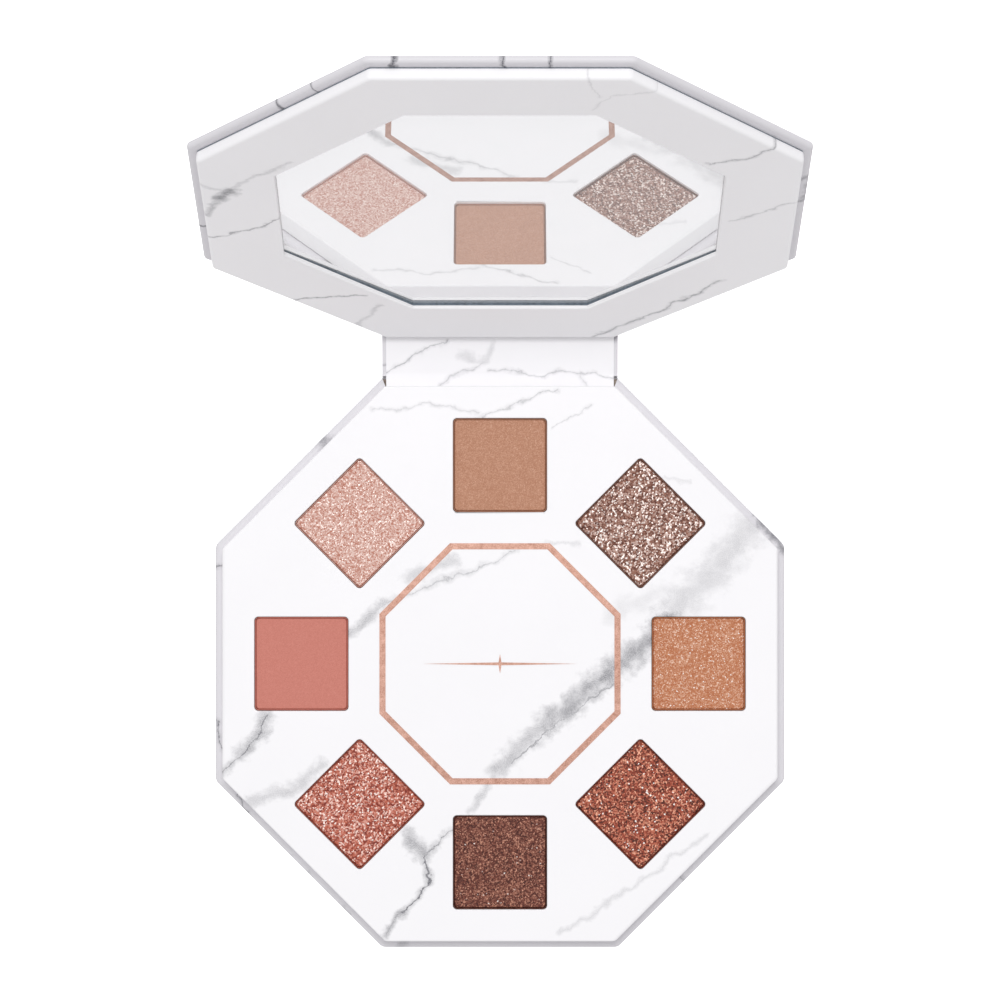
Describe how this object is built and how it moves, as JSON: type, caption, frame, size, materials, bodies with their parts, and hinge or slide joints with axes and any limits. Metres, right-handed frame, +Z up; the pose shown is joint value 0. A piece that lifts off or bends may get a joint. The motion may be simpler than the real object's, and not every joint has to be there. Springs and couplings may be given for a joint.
{
  "type": "eyeshadow palette",
  "caption": "Octagonal folding eyeshadow palette: paper-wrapped board case with a paper-hinged mirror lid and square pans of pressed powder set in a ring.",
  "frame": {"origin": "centre of the flat underside of the base, which rests on the table", "axes": "+Z up out of the pans, +Y towards the spine and the lid's hinge, +X to the right as the user faces the open mirror"},
  "size_m": [0.1126, 0.1652, 0.1065],
  "materials": {
    "grey_board": "raw grey board",
    "marble_paper": "white marble print, satin laminated",
    "lining_paper": "white marble print, satin laminated",
    "pan_metal": "satin",
    "rose_gold_foil": "polished",
    "mirror": "polished",
    "tape": "matte",
    "magnet": "satin",
    "powder_tan_satin": "matte",
    "powder_pale_pink": "shimmer",
    "powder_rose_matte": "matte",
    "powder_rose_glitter": "glitter",
    "powder_brown_shimmer": "shimmer",
    "powder_copper_glitter": "glitter",
    "powder_apricot_sparkle": "fine sparkle",
    "powder_champagne_glitter": "coarse glitter"
  },
  "bodies": {
    "base": {"base_board": "grey_board", "base_cover_paper": "marble_paper", "base_lining": "lining_paper", "tray_floor_card": "grey_board", "tray_lower_board": "grey_board", "tray_upper_board": "grey_board", "tray_wrap": "marble_paper", "base_magnet_left": "magnet", "base_magnet_right": "magnet", "gold_frame": "rose_gold_foil", "gold_ornament": "rose_gold_foil", "pan_rear": "pan_metal", "pan_rear_left": "pan_metal", "pan_left": "pan_metal", "pan_front_left": "pan_metal", "pan_front": "pan_metal", "pan_front_right": "pan_metal", "pan_right": "pan_metal", "pan_rear_right": "pan_metal", "powder_rear": "powder_tan_satin", "powder_rear_left": "powder_pale_pink", "powder_left": "powder_rose_matte", "powder_front_left": "powder_rose_glitter", "powder_front": "powder_brown_shimmer", "powder_front_right": "powder_copper_glitter", "powder_right": "powder_apricot_sparkle", "powder_rear_right": "powder_champagne_glitter"},
    "spine": {"spine_board": "grey_board", "spine_cover_paper": "marble_paper", "spine_lining": "lining_paper"},
    "lid": {"lid_board": "grey_board", "lid_cover_paper": "marble_paper", "lid_lining": "lining_paper", "lid_frame_board": "grey_board", "lid_frame_wrap": "marble_paper", "lid_magnet_left": "magnet", "lid_magnet_right": "magnet", "mirror_tape": "tape", "mirror": "mirror"}
  },
  "joints": [
    {"name": "spine_fold", "type": "hinge", "parent": "base", "child": "spine", "pos_m": [0, 0.0567, 0.0003], "axis": [1, 0, 0], "range_deg": [-5, 85]},
    {"name": "lid_fold", "type": "hinge", "parent": "spine", "child": "lid", "pos_m": [0, 0.06666, 0.00117], "axis": [1, 0, 0], "range_deg": [-63.2, 26.8]}
  ]
}
